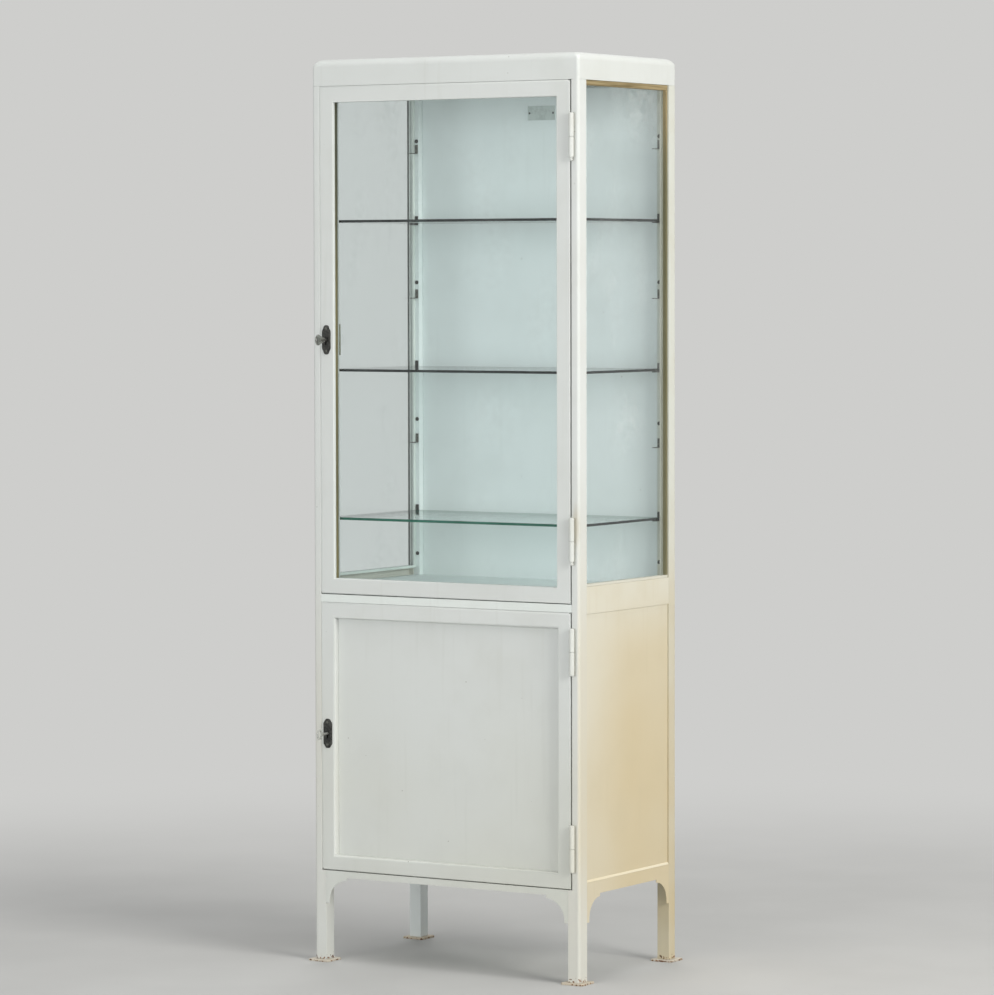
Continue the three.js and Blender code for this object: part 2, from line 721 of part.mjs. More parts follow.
// Doors
addPiece('upper_door_frame', makeDoorFrame(UPPER_DOOR, lockHeight('upper')), PAINT);
addPiece('upper_door_glass', makePane(UPPER_DOOR, GLASS_THICK), GLASS);
addPiece('upper_door_bead', makeDoorBead(UPPER_DOOR), PUTTY);
addPiece('lower_door_frame', makeDoorFrame(LOWER_DOOR, lockHeight('lower')), PAINT);
addPiece('lower_door_panel', makePane(LOWER_DOOR, SHEET), PAINT);
for (const [door, [bottom, top]] of Object.entries(DOORS)) {
  const middles = { top: top - HINGE_BELOW_TOP[door], bottom: bottom + HINGE_ABOVE_BOTTOM[door] };
  for (const [place, middle] of Object.entries(middles)) {
    addPiece(`${door}_door_${place}_hinge_pin`, makePostKnuckle(middle), PAINT);
    addPiece(`${door}_door_${place}_hinge_knuckle`, makeDoorKnuckle(middle), PAINT);
  }
  const height = lockHeight(door);
  addPiece(`${door}_lock_case`, makeLockCase(height), IRON);
  addPiece(`${door}_lock_bolt`, makeBolt(height), STEEL);
  addPiece(`${door}_lock_plate`, makeLockPlate(height, door === 'upper'), IRON);
  addPiece(`${door}_key`, makeKey(height), STEEL);
}

export default cabinet;
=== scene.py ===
"""A glazed steel instrument cabinet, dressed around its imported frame. Metres, +Z up, the front faces -Y."""

import json
import math
import random

import bmesh
import bpy
from mathutils import Matrix, Vector


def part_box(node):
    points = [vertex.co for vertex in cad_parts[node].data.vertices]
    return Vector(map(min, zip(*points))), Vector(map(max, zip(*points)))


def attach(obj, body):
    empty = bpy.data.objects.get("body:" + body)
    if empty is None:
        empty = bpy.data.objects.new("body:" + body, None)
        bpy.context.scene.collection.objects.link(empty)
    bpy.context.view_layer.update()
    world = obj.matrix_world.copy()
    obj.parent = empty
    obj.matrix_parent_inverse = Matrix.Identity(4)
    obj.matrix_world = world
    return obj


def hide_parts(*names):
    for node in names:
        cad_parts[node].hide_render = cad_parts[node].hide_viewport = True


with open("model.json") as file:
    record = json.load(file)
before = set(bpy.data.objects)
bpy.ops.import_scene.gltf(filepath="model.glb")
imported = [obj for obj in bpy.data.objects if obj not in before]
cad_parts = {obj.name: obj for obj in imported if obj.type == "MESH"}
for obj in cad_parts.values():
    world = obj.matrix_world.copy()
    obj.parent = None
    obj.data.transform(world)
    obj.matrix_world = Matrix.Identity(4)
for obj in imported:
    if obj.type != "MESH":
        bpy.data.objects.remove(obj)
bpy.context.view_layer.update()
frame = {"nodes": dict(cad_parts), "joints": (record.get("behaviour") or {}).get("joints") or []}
NODES = frame["nodes"]
JOINTS = {joint["name"]: joint for joint in frame["joints"]}
SIDES = {"left": -1, "right": 1}
ENDS = {"front": -1, "rear": 1}
DOORS = ("upper", "lower")
LEVELS = ("top", "middle", "bottom")
MM = 0.001
SHEET = 1.5 * MM
HAIR = 0.1 * MM  # keeps faces that almost meet apart
DOOR_BAR = 30 * MM
DOOR_GAP = 1.5 * MM  # above the upper door and below the lower one
DOOR_CLEAR = 1 * MM  # behind a door
STRIP_WIDTH = 4.6 * MM  # of the glazing strips at the front and the bottom
RANDOM = random.Random(7)


# Materials

# Where stains and colours fade in, in metres: none at the first place, full at the second
BACK_STAIN_Y = (-0.16, 0.05)
BACK_STAIN_Z = (0.75, 0.6)
SIDE_STAIN_X = (0.293, 0.299)
SIDE_STAIN_FOOT = (0.06, 0.3)
SIDE_STAIN_TOP = (1.0, 0.55)
OLIVE_Z = (1.69, 1.5)
BLOT_SCALE = (100, 40, 17)  # one over the blot's half sizes in metres


def srgb(red, green, blue):
    """A linear colour from a screen colour's 0 to 255 values."""
    def channel(value):
        value /= 255
        return value / 12.92 if value <= 0.04045 else ((value + 0.055) / 1.055) ** 2.4
    return (channel(red), channel(green), channel(blue), 1)


class Graph:
    """The nodes of one material; each call adds a node and returns what it gives."""

    def __init__(self, name):
        self.material = bpy.data.materials.new(name)
        self.material.use_nodes = True
        self.tree = self.material.node_tree
        self.tree.nodes.clear()

    def add(self, kind, inputs=(), **settings):
        node = self.tree.nodes.new(kind)
        for key, value in settings.items():
            setattr(node, key, value)
        for key, value in dict(inputs).items():
            if isinstance(value, bpy.types.NodeSocket):
                self.tree.links.new(value, node.inputs[key])
            else:
                node.inputs[key].default_value = value
        return node

    def place(self):
        return self.add("ShaderNodeTexCoord").outputs["Object"]

    def axes(self, vector):
        return self.add("ShaderNodeSeparateXYZ", {"Vector": vector}).outputs

    def calc(self, operation, first, second=0.0):
        inputs = {0: first, 1: second}
        return self.add("ShaderNodeMath", inputs, operation=operation, use_clamp=True).outputs[0]

    def vector_calc(self, operation, first, second):
        inputs = {0: first, 1: second}
        return self.add("ShaderNodeVectorMath", inputs, operation=operation).outputs[0]

    def length(self, vector):
        return self.add("ShaderNodeVectorMath", {0: vector}, operation="LENGTH").outputs["Value"]

    def ramp(self, value, start, end, to=1.0):
        """Goes smoothly from 0 at start to a last value at end."""
        inputs = {"Value": value, "From Min": start, "From Max": end, "To Max": to}
        return self.add("ShaderNodeMapRange", inputs, interpolation_type="SMOOTHSTEP").outputs["Result"]

    def noise(self, vector, scale, detail=3.0, stretch=None):
        if stretch:
            vector = self.vector_calc("MULTIPLY", vector, stretch)
        inputs = {"Vector": vector, "Scale": scale, "Detail": detail}
        return self.add("ShaderNodeTexNoise", inputs).outputs[0]

    def mix(self, factor, first, second):
        return self.add("ShaderNodeMix", {0: factor, 6: first, 7: second}, data_type="RGBA").outputs[2]

    def bump(self, height, strength, distance):
        inputs = {"Height": height, "Strength": strength, "Distance": distance}
        return self.add("ShaderNodeBump", inputs).outputs["Normal"]

    def shade(self, shader):
        output = self.add("ShaderNodeOutputMaterial")
        self.tree.links.new(shader, output.inputs["Surface"])
        return self.material


def paint(name, clean, stained, grime, stain_top, stain_bottom, spread=1.0, chip_height=0.0, back_stain=0.0,
          side_stain=0.0, gap_shade_y=None, blot=None):
    """Old sprayed enamel: slow mottling, yellowing, run marks, specks, worn bends, chipped feet and painted
    shade by a hinge.
    """
    g = Graph(name)
    place = g.place()
    x, y, z = g.axes(place)
    cloud = g.noise(place, 2.6, 2)
    mottle = g.noise(place, 9, 4)
    age = g.calc("MULTIPLY", g.ramp(z, stain_top, stain_bottom, spread), g.ramp(cloud, 0.1, 0.75))
    if back_stain:
        behind = g.calc("MULTIPLY", g.ramp(y, *BACK_STAIN_Y, back_stain), g.ramp(z, *BACK_STAIN_Z))
        age = g.calc("ADD", age, behind)
    if side_stain:
        outer = g.calc("MULTIPLY", g.ramp(x, *SIDE_STAIN_X, side_stain), g.ramp(z, *SIDE_STAIN_FOOT))
        age = g.calc("ADD", age, g.calc("MULTIPLY", outer, g.ramp(z, *SIDE_STAIN_TOP)))
    colour = g.mix(age, clean, stained)
    colour = g.mix(g.ramp(mottle, 0.42, 0.78, 0.3), colour, grime)
    runs = g.noise(place, 1, 3, stretch=(85, 85, 4))
    colour = g.mix(g.ramp(runs, 0.56, 0.8, 0.22), colour, grime)
    specks = g.add("ShaderNodeTexVoronoi", {"Vector": place, "Scale": 48})
    rare = g.ramp(g.axes(specks.outputs["Color"])[0], 0.93, 0.96)
    speck = g.calc("MULTIPLY", rare, g.ramp(specks.outputs["Distance"], 0.07, 0.03, 0.6))
    colour = g.mix(speck, colour, srgb(96, 84, 66))
    # Painted shade: a dark band within a few millimetres of a given depth, the shadow in the gap beside a
    # hinge barrel.
    if gap_shade_y:
        deep = g.ramp(y, gap_shade_y - 1.5 * MM, gap_shade_y + 1 * MM, 0.8)
        deep = g.calc("MULTIPLY", deep, g.ramp(y, gap_shade_y + 2.9 * MM, gap_shade_y + 2.2 * MM))
        colour = g.mix(deep, colour, srgb(112, 108, 90))
    if blot:
        away = g.vector_calc("MULTIPLY", g.vector_calc("SUBTRACT", place, blot), BLOT_SCALE)
        near = g.ramp(g.length(away), 1, 0.2, 0.4)
        colour = g.mix(g.calc("MULTIPLY", near, g.ramp(mottle, 0.2, 0.6)), colour, srgb(176, 158, 118))
    fine = g.noise(place, 190, 5)
    wear = g.add("ShaderNodeAttribute", attribute_name="wear").outputs["Fac"]
    chance = g.calc("MULTIPLY", wear, 0.34)
    if chip_height:
        chance = g.calc("ADD", chance, g.ramp(z, chip_height, 0.0, 0.36))
    chips = g.ramp(g.calc("ADD", fine, chance), 0.84, 0.88)
    rust = g.mix(g.ramp(g.noise(place, 90, 4), 0.35, 0.65), srgb(74, 46, 28), srgb(134, 90, 54))
    colour = g.mix(chips, colour, rust)
    rough = g.calc("ADD", g.ramp(mottle, 0.2, 0.8, 0.16), 0.38)
    rough = g.calc("ADD", rough, g.calc("MULTIPLY", chips, 0.35))
    peel = g.noise(place, 330, 2)
    relief = g.calc("SUBTRACT", peel, g.calc("MULTIPLY", chips, 0.8))
    shader = g.add("ShaderNodeBsdfPrincipled", {
        "Base Color": colour, "Roughness": rough, "Normal": g.bump(relief, 0.1, 0.0005),
    })
    return g.shade(shader.outputs[0])


def clear_glass(name, tint, haze):
    """A pane that lets lamp light through, with a faint uneven film on it."""
    g = Graph(name)
    place = g.place()
    slant = g.add("ShaderNodeLayerWeight", {"Blend": 0.5}).outputs["Facing"]
    gloss = g.calc("ADD", g.calc("MULTIPLY", g.calc("POWER", slant, 5.0), 0.8), 0.035)
    clear = g.add("ShaderNodeBsdfTransparent", {"Color": tint}).outputs[0]
    rough = g.ramp(g.noise(place, 30, 3), 0.3, 0.7, 0.06)
    shine = g.add("ShaderNodeBsdfAnisotropic", {"Color": (1, 1, 1, 1), "Roughness": rough}).outputs[0]
    see = g.add("ShaderNodeMixShader", {0: gloss, 1: clear, 2: shine}).outputs[0]
    wipes = g.noise(place, 1, 4, stretch=(9, 9, 5))
    film = g.calc("MULTIPLY", g.ramp(wipes, 0.48, 0.78, haze), g.ramp(g.noise(place, 60, 3), 0.25, 0.7))
    veil = g.add("ShaderNodeBsdfDiffuse", {"Color": srgb(226, 230, 228)}).outputs[0]
    return g.shade(g.add("ShaderNodeMixShader", {0: film, 1: see, 2: veil}).outputs[0])


def glass_edge(name, dark, light, ends):
    """The ground edge of a shelf, where its depth of glass shows as dark green, darker on its two ends."""
    g = Graph(name)
    place = g.place()
    bands = g.noise(place, 1, 3, stretch=(20, 20, 420))
    colour = g.mix(g.ramp(bands, 0.45, 0.8), dark, light)
    across = g.calc("ABSOLUTE", g.axes(place)[0])
    colour = g.mix(g.ramp(across, SHELF_END - 1.5 * MM, SHELF_END - 0.6 * MM), colour, ends)
    shader = g.add("ShaderNodeBsdfPrincipled", {
        "Base Color": colour, "Roughness": g.ramp(bands, 0.2, 0.9, 0.5), "Specular IOR Level": 0.25,
    })
    return g.shade(shader.outputs[0])


def wood_strip(name, tan, dark, olive, white, bare_depth):
    """Streaked glazing strips, bare on the outside along the top and the rear edge, painted elsewhere."""
    low, high = GLAZING_BOX
    outer = high.x - bare_depth
    g = Graph(name)
    place = g.place()
    x, y, z = g.axes(place)
    on_top = g.ramp(z, high.z - 14 * MM, high.z - 12 * MM)
    on_rear = g.ramp(y, high.y - 13 * MM, high.y - 11 * MM)
    along_y = g.noise(place, 1, 5, stretch=(160, 7, 260))
    along_z = g.noise(place, 1, 5, stretch=(160, 260, 5))
    grain = g.add("ShaderNodeMix", {0: on_top, 2: along_z, 3: along_y}).outputs[0]
    wood = g.mix(g.ramp(grain, 0.36, 0.68), tan, dark)
    wood = g.mix(g.ramp(z, *OLIVE_Z, 0.85), wood, olive)
    above = g.ramp(z, low.z + STRIP_WIDTH, low.z + STRIP_WIDTH + 0.6 * MM)
    bare = g.calc("MULTIPLY", g.calc("MAXIMUM", on_top, on_rear), above)
    bare = g.calc("MULTIPLY", bare, g.ramp(g.calc("ABSOLUTE", x), outer, outer + 0.6 * MM))
    colour = g.mix(bare, g.mix(g.ramp(g.noise(place, 25, 3), 0.5, 0.8, 0.12), white, dark), wood)
    shader = g.add("ShaderNodeBsdfPrincipled", {
        "Base Color": colour, "Roughness": g.calc("ADD", g.ramp(grain, 0.2, 0.8, 0.3), 0.5),
        "Normal": g.bump(grain, 0.3, 0.0006),
    })
    return g.shade(shader.outputs[0])


def metal(name, base, bright, dull, shine, rough):
    """Handled iron or steel: brushed tone, rubbed bends and a dull bloom in patches."""
    g = Graph(name)
    place = g.place()
    brushed = g.noise(place, 1, 4, stretch=(220, 220, 1400))
    bloom = g.noise(place, 130, 4)
    wear = g.add("ShaderNodeAttribute", attribute_name="wear").outputs["Fac"]
    rubbed = g.calc("MULTIPLY", wear, g.ramp(g.noise(place, 300, 3), 0.35, 0.6))
    colour = g.mix(g.ramp(bloom, 0.45, 0.75, 0.8), base, dull)
    colour = g.mix(rubbed, colour, bright)
    shader = g.add("ShaderNodeBsdfPrincipled", {
        "Base Color": colour, "Metallic": shine,
        "Roughness": g.calc("ADD", g.ramp(bloom, 0.3, 0.8, 0.3), rough),
        "Normal": g.bump(brushed, 0.12, 0.0003),
    })
    return g.shade(shader.outputs[0])


HINGE_X, HINGE_Y, _ = JOINTS["upper_door_swing"]["pos_m"]
LOW_HINGE_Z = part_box("upper_door_bottom_hinge_pin")[1].z
POST_FRONT_Y = -0.169
# A stain on the front post, under the lower hinge of the upper door
BLOT_PLACE = (HINGE_X + 5 * MM, POST_FRONT_Y, LOW_HINGE_Z - 12 * MM)
WHITE = paint(
    "white_enamel", srgb(213, 216, 213), srgb(205, 206, 196), srgb(197, 199, 192), 0.7, 0.2,
)
POST = paint(
    "post_enamel", srgb(214, 217, 214), srgb(203, 190, 158), srgb(198, 198, 190), 0.9, 0.4, spread=0.3,
    chip_height=0.03, side_stain=0.4, blot=BLOT_PLACE,
)
REAR_POST = paint(
    "rear_post_enamel", srgb(208, 210, 201), srgb(194, 177, 138), srgb(190, 182, 156), 0.95, 0.4, spread=1.5,
    chip_height=0.03,
)
# A lighter copy of the white enamel for the mid rail between the doors: painted light that makes up for the
# shade there.
LIT_RAIL = paint(
    "rail_enamel_painted_light", srgb(224, 229, 225), srgb(214, 215, 206), srgb(205, 208, 202), 0.7, 0.2,
)
# The inside's white enamel, lighter and bluer than the outside's: painted light and glass tint for the
# interior seen through the panes.
INNER_LIGHTENED = paint(
    "inner_enamel_painted_light", srgb(230, 236, 236), srgb(227, 232, 230), srgb(211, 217, 215), 1.2, 0.7,
)
CREAM = paint(
    "cream_enamel", srgb(212, 208, 192), srgb(201, 184, 146), srgb(196, 184, 154), 0.76, 0.3, spread=0.5,
    back_stain=0.55,
)
CREAM_LEFT = paint(
    "left_cream_enamel", srgb(217, 216, 206), srgb(210, 205, 188), srgb(201, 197, 180), 0.76, 0.3, spread=0.5,
)
# Hinge barrels, with painted shade in a band along the gap on each side of them.
HINGE = paint(
    "hinge_enamel_gap_shade", srgb(211, 214, 210), srgb(207, 206, 194), srgb(190, 188, 176), 1.0, 0.2, gap_shade_y=HINGE_Y,
)
# A lighter cream than the side panel's for the rolled ledge: painted highlight where light from above catches
# it.
LEDGE_HIGHLIGHT = paint(
    "ledge_enamel_painted_highlight", srgb(230, 224, 204), srgb(224, 212, 182), srgb(206, 196, 166), 0.6, 0.2,
)
FOOT = paint(
    "foot_enamel", srgb(206, 202, 192), srgb(196, 184, 162), srgb(150, 126, 98), 0.02, 0.0,
)
# Putty and painted shade: a dark olive, darker towards the top, for the putty and the shadow in the door's
# reveal.
PUTTY_AND_SHADE = paint(
    "olive_putty_and_painted_shade", srgb(70, 70, 54), srgb(112, 106, 74), srgb(56, 54, 38), 1.6, 1.3,
)
DOOR_GLASS = clear_glass("door_glass", srgb(251.2, 253.6, 253.6), 0.04)
SIDE_GLASS = clear_glass("side_glass", srgb(251.6, 253.4, 253.3), 0.12)
SHELF_GLASS = clear_glass("shelf_glass", srgb(247, 252.5, 251.5), 0.03)
SHELF_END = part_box("shelf_bottom")[1].x
EDGE_DARK = glass_edge("shelf_edge_dark", srgb(8, 18, 18), srgb(22, 40, 37), srgb(12, 20, 20))
EDGE_GREEN = glass_edge("shelf_edge_green", srgb(8, 92, 72), srgb(28, 118, 98), srgb(12, 22, 22))
GLAZING_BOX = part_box("side_glazing_right")
STRIP_RIGHT = wood_strip(
    "tan_strip", srgb(164, 147, 110), srgb(114, 100, 68), srgb(104, 103, 76), srgb(208, 206, 194), 6.9 * MM,
)
STRIP_LEFT = wood_strip(
    "dark_strip", srgb(48, 50, 45), srgb(28, 30, 27), srgb(50, 52, 46), srgb(222, 228, 223), 4.6 * MM,
)
IRON = metal("black_iron", srgb(18, 19, 18), srgb(70, 70, 66), srgb(32, 32, 30), 0.3, 0.38)
DARK_STEEL = metal("worn_key_steel", srgb(104, 104, 100), srgb(156, 156, 150), srgb(78, 77, 72), 0.6, 0.34)
STEEL = metal("key_steel", srgb(178, 180, 176), srgb(218, 219, 213), srgb(138, 137, 130), 0.6, 0.3)
CLIP = metal("clip_steel", srgb(46, 48, 45), srgb(104, 104, 97), srgb(34, 34, 31), 0.4, 0.4)
CASE = metal("lock_case_brass", srgb(108, 106, 76), srgb(150, 146, 112), srgb(78, 76, 54), 0.3, 0.45)
PLATE = metal("plate_metal", srgb(196, 204, 201), srgb(222, 227, 223), srgb(176, 184, 181), 0.05, 0.4)


# Shapes

MERGE = 2e-6  # metres; points nearer than this become one
SHARP_ANGLE = math.radians(38)


def bend(points, radii, closed=False, steps=5):
    """A line through points whose corners are rounded by a radius each."""
    line = []
    for i, (point, radius) in enumerate(zip(points, radii)):
        here = Vector(point)
        if radius <= 0 or (not closed and i in (0, len(points) - 1)):
            line.append(here)
            continue
        back = (Vector(points[i - 1]) - here).normalized()
        onward = (Vector(points[(i + 1) % len(points)]) - here).normalized()
        half = back.angle(onward) / 2
        middle = here + (back + onward).normalized() * (radius / math.sin(half))
        start = here + back * (radius / math.tan(half)) - middle
        end = here + onward * (radius / math.tan(half)) - middle
        sweep = math.pi - 2 * half
        for k in range(steps + 1):
            share = k / steps
            mixed = start * math.sin((1 - share) * sweep) + end * math.sin(share * sweep)
            line.append(middle + mixed / math.sin(sweep))
    return line


def beside(line, distance):
    """The open line moved to its left by a distance."""
    moved = []
    for i, point in enumerate(line):
        normals = []
        for first, second in ((i - 1, i), (i, i + 1)):
            if first >= 0 and second < len(line):
                run = (line[second] - line[first]).normalized()
                normals.append(Vector((-run.y, run.x)))
        out = (normals[0] + normals[-1]).normalized()
        moved.append(point + out * (distance / out.dot(normals[0])))
    return moved


def folded(points, radii):
    """The closed outline of a sheet folded along points."""
    line = bend(points, radii)
    return line + beside(line, SHEET)[::-1]


def rectangle(low, high, inset, corner, steps=5):
    """A rounded rectangle's points, anticlockwise."""
    x0, y0, x1, y1 = low[0] + inset, low[1] + inset, high[0] - inset, high[1] - inset
    corners = [(x0, y0), (x1, y0), (x1, y1), (x0, y1)]
    return bend(corners, [corner] * 4, closed=True, steps=steps)


class Builder:
    """Collects the faces of one piece."""

    def __init__(self):
        self.mesh = bmesh.new()
        self.worn = self.mesh.verts.layers.float.new("wear")

    def face(self, corners, finish):
        self.mesh.faces.new(corners).material_index = finish

    def loft(self, rings, closed=False, finish=0, cap_finish=None, wear=None):
        """Skins rings of points; open ends are capped, a closed run joins its last ring to its first."""
        rows = []
        for i, ring in enumerate(rings):
            row = [self.mesh.verts.new(point) for point in ring]
            for vert in row:
                vert[self.worn] = wear[i] if wear else 0.0
            rows.append(row)
        pairs = list(zip(rows, rows[1:]))
        if closed:
            pairs.append((rows[-1], rows[0]))
        for low, high in pairs:
            for i, vert in enumerate(low):
                j = (i + 1) % len(low)
                self.face((vert, low[j], high[j], high[i]), finish)
        if not closed:
            cap = finish if cap_finish is None else cap_finish
            self.face(rows[0][::-1], cap)
            self.face(rows[-1], cap)
        return self

    def done(self, name, body, materials, hides=(), slot=None):
        """Makes the piece, which rides on a body and may stand in for CAD nodes."""
        bmesh.ops.remove_doubles(self.mesh, verts=self.mesh.verts[:], dist=MERGE)
        bmesh.ops.recalc_face_normals(self.mesh, faces=self.mesh.faces[:])
        mesh = bpy.data.meshes.new(name)
        self.mesh.to_mesh(mesh)
        self.mesh.free()
        mesh.polygons.foreach_set("use_smooth", [True] * len(mesh.polygons))
        mesh.set_sharp_from_angle(angle=SHARP_ANGLE)
        for material in materials:
            mesh.materials.append(material)
        piece = bpy.data.objects.new(name, mesh)
        bpy.context.scene.collection.objects.link(piece)
        piece.modifiers.new("even_normals", "WEIGHTED_NORMAL").keep_sharp = True
        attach(piece, body)
        if hides:
            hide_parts(*hides)


def upright(outline, z):
    """An outline in plan, at one height."""
    return [(point[0], point[1], z) for point in outline]


def facing(outline, y):
    """An outline seen from the front, at one depth."""
    return [(point[0], y, point[1]) for point in outline]


def sideways(outline, x):
    """An outline seen from the right side, at one X."""
    return [(x, point[0], point[1]) for point in outline]


def circle(centre, radius, steps=28, squash=1.0):
    turns = [2 * math.pi * i / steps for i in range(steps)]
    return [(centre[0] + radius * math.cos(a), centre[1] + radius * squash * math.sin(a)) for a in turns]


def slab(builder, outline, depths, place, bevel, finish=0, cap_finish=None):
    """A flat piece whose two rims are bevelled; place puts the outline at a depth."""
    near, far = depths
    middle = sum((Vector(point) for point in outline), Vector((0, 0))) / len(outline)
    inner = [Vector(p) - (Vector(p) - middle).normalized() * bevel for p in outline]
    rings = [place(inner, near), place(outline, near + bevel), place(outline, far - bevel), place(inner, far)]
    builder.loft(rings, finish=finish, cap_finish=cap_finish, wear=[1, 1, 1, 1])


# Carcass

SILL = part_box("lower_door_frame")[0].z - DOOR_GAP
POST_CORNER = 5.5 * MM
HIDDEN_CORNER = 0.15 * MM
REBATE_WIDTH = 9 * MM
SPARE_CLIP_SEATS = (1.576, 1.288, 1.000)
POST_SCREW_HEIGHTS = (1.601, 1.320, 1.047, 0.778)
POST_SCREW_INSET = 21.2 * MM
PLATE_RIVET_INSET = 4 * MM


def make_post(side_name, side, end_name, end):
    """A square tube with softened corners; a front post is cut back above the sill to take the doors."""
    name = f"post_{end_name}_{side_name}"
    low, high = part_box(name)
    outer_x = high.x if side > 0 else low.x
    outer_y = high.y if end > 0 else low.y
    wide, deep = high.x - low.x, high.y - low.y

    def plan(points):
        return [(outer_x - side * u, outer_y - end * v) for u, v in points]

    builder = Builder()
    square = [(0, 0), (wide, 0), (wide, deep), (0, deep)]
    outline = bend(plan(square), [POST_CORNER] + [HIDDEN_CORNER] * 3, closed=True)
    if end > 0:
        builder.loft([upright(outline, low.z), upright(outline, high.z)])
    else:
        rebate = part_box("upper_door_frame")[1].y - outer_y + DOOR_CLEAR
        face = wide - REBATE_WIDTH
        cut = [(0, 0), (face, 0), (face, rebate), (wide, rebate), (wide, deep), (0, deep)]
        upper = bend(plan(cut), [POST_CORNER, 0.7 * MM] + [HIDDEN_CORNER] * 4, closed=True)
        builder.loft([upright(outline, low.z), upright(outline, SILL)])
        builder.loft([upright(upper, SILL), upright(upper, high.z)])
    # The rear left post takes the lighter inside enamel: painted light on a post that stands in the lid's
    # shade.
    finish = POST if end < 0 else (REAR_POST if side > 0 else INNER_LIGHTENED)
    builder.done(name + "_tube", "cabinet", [finish], [name], "white_paint")


def make_foot(side_name, end_name):
    """A welded foot plate with a battered rim."""
    name = f"foot_plate_{end_name}_{side_name}"
    low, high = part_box(name)
    outline = rectangle(low, high, 0.4 * MM, 3 * MM, steps=4)
    middle = (low + high).xy / 2
    worn = [p + (middle - p).normalized() * RANDOM.uniform(0, 0.9 * MM) for p in outline]
    inner = [p + (middle - p).normalized() * 1.1 * MM for p in worn]
    rings = [upright(worn, low.z), upright(worn, high.z - 1 * MM), upright(inner, high.z)]
    Builder().loft(rings, wear=[1, 0.85, 0.3]).done(name + "_worn", "cabinet", [FOOT], [name], "worn_paint")


def make_lid():
    """The pressed top: a flat crown, rounded edges and a turned-down band, with the door's stop inside."""
    low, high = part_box("top_cover")
    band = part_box("upper_door_frame")[1].z + DOOR_GAP
    crown, reach, stop_drop = 15 * MM, 60 * MM, 9 * MM
    under = high.z - SHEET
    outer = bend([(0, band), (0, high.z), (reach, high.z)], [0, crown, 0], steps=9)
    inner = bend([(SHEET, band), (SHEET, under), (reach, under)], [0, crown - SHEET, 0])
    rings = []
    for inset, z in inner[::-1] + outer:
        rings.append(upright(rectangle(low, high, inset, POST_CORNER + inset / 2, steps=6), z))
    builder = Builder().loft(rings)
    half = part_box("front_apron")[1].x
    door_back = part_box("upper_door_frame")[1].y + DOOR_CLEAR
    for bottom, near, far in (
        (band, low.y + SHEET, door_back),
        (band - stop_drop, door_back, door_back + SHEET),
    ):
        strip = [(-half, bottom), (half, bottom), (half, band + SHEET), (-half, band + SHEET)]
        builder.loft([facing(strip, near), facing(strip, far)])
    builder.done("top_lid", "cabinet", [WHITE], ["top_cover"], "white_paint")


def make_glazing(side_name, side, material):
    """The grooved surround of a side pane, widest along the top, then along the rear."""
    name = f"side_glazing_{side_name}"
    low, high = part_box(name)
    glass_low, glass_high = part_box(f"side_glass_{side_name}")
    outer, inner = (high.x, low.x) if side > 0 else (low.x, high.x)
    near, far = (glass_high.x, glass_low.x) if side > 0 else (glass_low.x, glass_high.x)
    near += side * HAIR
    far -= side * HAIR
    sight = (STRIP_WIDTH, 6 * MM, STRIP_WIDTH, 10 * MM)
    groove = (3.9 * MM,) * 4
    rim = (0,) * 4

    def ring(insets, x):
        front, rear, bottom, top = insets
        y0, y1, z0, z1 = low.y + front, high.y - rear, low.z + bottom, high.z - top
        return [(x, y0, z0), (x, y1, z0), (x, y1, z1), (x, y0, z1)]

    steps = [(rim, outer), (sight, outer), (sight, near), (groove, near),
             (groove, far), (sight, far), (sight, inner), (rim, inner)]
    builder = Builder().loft([ring(insets, x) for insets, x in steps], closed=True)
    builder.done(name + "_strips", "cabinet", [material], [name], "putty")


def make_ledge(side_name, side):
    """The rolled ledge along the foot of a sunk side panel."""
    low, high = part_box(f"side_panel_{side_name}")
    outer = high.x if side > 0 else low.x
    section = [(0.1, 0.1), (3, 0.1), (3, 4.2), (2.6, 4.1), (1.5, 2.9), (0.5, 1.3)]
    outline = [(outer - side * step * MM, low.z + rise * MM) for step, rise in section]
    rings = [[(x, y, z) for x, z in outline] for y in (low.y + 0.4 * MM, high.y - 0.4 * MM)]
    Builder().loft(rings).done(f"side_ledge_{side_name}", "cabinet", [LEDGE_HIGHLIGHT], slot="cream_paint")


def make_shelf(level, edge):
    """A loose glass shelf with ground edges and eased corners."""
    low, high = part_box(f"shelf_{level}")
    builder = Builder()
    slab(builder, rectangle(low, high, 0, 3 * MM), (low.z, high.z), upright, 0.7 * MM, finish=1, cap_finish=0)
    builder.done(f"shelf_{level}_pane", "cabinet", [SHELF_GLASS, edge], [f"shelf_{level}"], "glass")


def make_spare_clip(name, side, end, seat):
    """A bent strip hooked on a post, like the ones that carry the shelves."""
    low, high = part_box(f"shelf_clip_top_{end}_{side}")
    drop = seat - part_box("shelf_clip_top_rear_left")[0].z
    wall, toe = (high.y, low.y) if end == "rear" else (low.y, high.y)
    out = -1 if end == "rear" else 1
    line = [(wall, high.z + drop), (wall, low.z + drop), (toe, low.z + drop)]
    path = bend(line, [0, 2.4 * MM, 0])
    strip = path + beside(path, out * 1.4 * MM)[::-1]
    builder = Builder().loft([sideways(strip, low.x), sideways(strip, high.x)], wear=[1, 1])
    builder.done(name, "cabinet", [CLIP], slot="steel")


